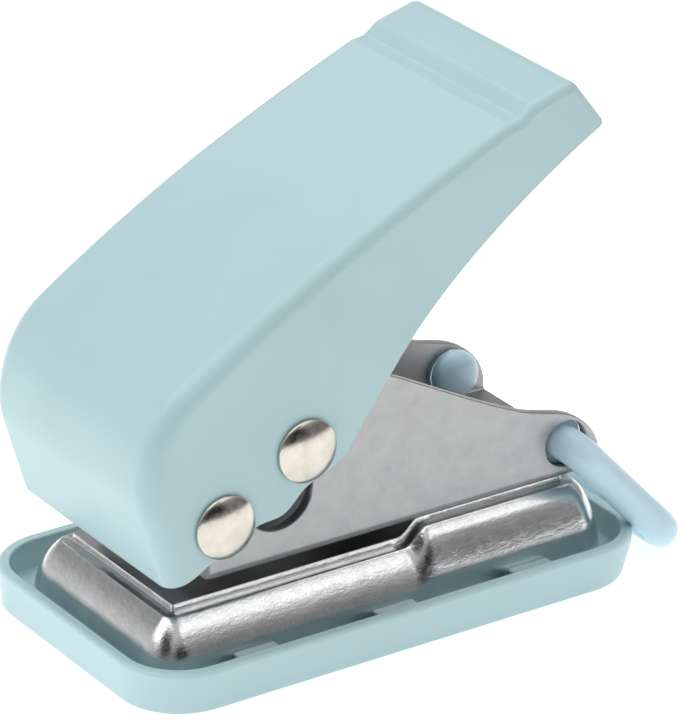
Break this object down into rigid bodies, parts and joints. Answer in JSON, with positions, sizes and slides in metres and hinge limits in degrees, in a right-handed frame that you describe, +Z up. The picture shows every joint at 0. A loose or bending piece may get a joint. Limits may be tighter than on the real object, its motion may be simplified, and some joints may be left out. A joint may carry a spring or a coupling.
{
  "type": "hole punch",
  "caption": "Small desk hole punch: raised plastic lever on a bent steel frame, pressed steel base in a chip tray, and a hinged hanging loop.",
  "frame": {"origin": "middle of the tray's underside, on the surface the punch stands on", "axes": "+X to the rear, where the loop hangs; +Y across the punch, along its hinge pins; +Z up"},
  "size_m": [0.0714, 0.0388, 0.06],
  "materials": {
    "tray_plastic": "smooth pale aqua, satin gloss",
    "handle_plastic": "smooth pale aqua, satin gloss",
    "loop_plastic": "smooth pale blue, gloss",
    "plated_steel": "bright plated pressing",
    "frame_steel": "rolled sheet, plated, faint grain",
    "rivet_metal": "polished warm nickel",
    "hardened_steel": "ground steel, lightly oiled"
  },
  "bodies": {
    "base": {"base_tray": "tray_plastic", "base_dish": "plated_steel", "upper_frame": "frame_steel", "frame_rivet_front": "rivet_metal", "frame_rivet_rear": "rivet_metal", "pivot_sleeve": "hardened_steel", "return_spring": "hardened_steel"},
    "handle": {"handle": "handle_plastic", "pivot_rivet": "rivet_metal", "pivot_rivet_cap": "rivet_metal", "drive_rivet": "rivet_metal", "drive_rivet_cap": "rivet_metal", "drive_sleeve": "hardened_steel"},
    "pin": {"punch_pin": "hardened_steel", "spring_washer": "hardened_steel", "retaining_clip": "hardened_steel"},
    "loop": {"hanging_loop": "loop_plastic"}
  },
  "joints": [
    {"name": "handle_hinge", "type": "hinge", "parent": "base", "child": "handle", "pos_m": [-0.0223, 0, 0.0196], "axis": [0, 1, 0], "range_deg": [0, 33], "stiffness_Nm_per_rad": 0.15, "springref_deg": -28.65},
    {"name": "pin_slide", "type": "slide", "parent": "base", "child": "pin", "axis": [0, 0, -1], "range_m": [0, 0.007], "deforming": ["return_spring"]},
    {"name": "loop_swing", "type": "hinge", "parent": "base", "child": "loop", "pos_m": [0.0251, 0, 0.01515], "axis": [0, -1, 0], "range_deg": [0, 60]}
  ],
  "couplings": [
    {"joint": "pin_slide", "follows": "handle_hinge", "m_per_rad": 0.0118}
  ]
}
